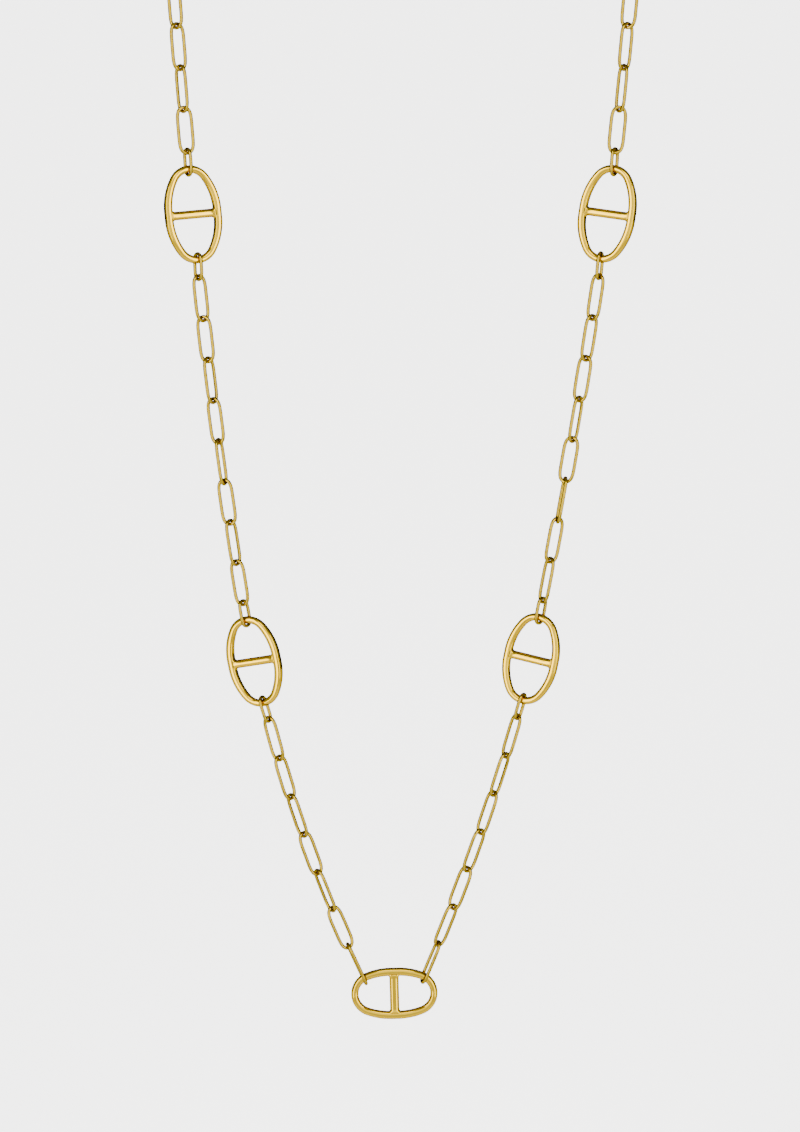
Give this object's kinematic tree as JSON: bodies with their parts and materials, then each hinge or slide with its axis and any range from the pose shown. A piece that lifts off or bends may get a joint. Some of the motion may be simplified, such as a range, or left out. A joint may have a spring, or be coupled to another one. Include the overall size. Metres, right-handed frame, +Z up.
{
  "type": "mariner link chain necklace",
  "caption": "Long necklace of slim oval links carrying larger barred oval links, one of them lying crosswise at the bottom, closed by a spring ring at the nape.",
  "frame": {"origin": "centre of the chain at the nape of the neck, where the clasp lies", "axes": "+X to the right as seen from the front, +Y to the back, away from the viewer, +Z up; the hanging front lies in a plane at the front"},
  "size_m": [0.1263, 0.1003, 0.3336],
  "materials": {
    "barred_links": "polished gold plate",
    "slim_links": "polished pale gold plate"
  },
  "bodies": {
    "root": {"centre_mariner_link": "barred_links", "lower_left_mariner_link": "barred_links", "lower_right_mariner_link": "barred_links", "upper_left_mariner_link": "barred_links", "upper_right_mariner_link": "barred_links", "clasp": "barred_links", "lower_left_link_below": "slim_links", "lower_left_link_above": "slim_links", "upper_left_link_below": "slim_links", "upper_left_link_above": "slim_links", "lower_right_link_below": "slim_links", "lower_right_link_above": "slim_links", "upper_right_link_below": "slim_links", "upper_right_link_above": "slim_links", "lower_chain_left": "slim_links", "lower_chain_right": "slim_links", "middle_chain_left": "slim_links", "middle_chain_right": "slim_links", "neck_chain_left": "slim_links", "neck_chain_right": "slim_links"}
  },
  "joints": []
}
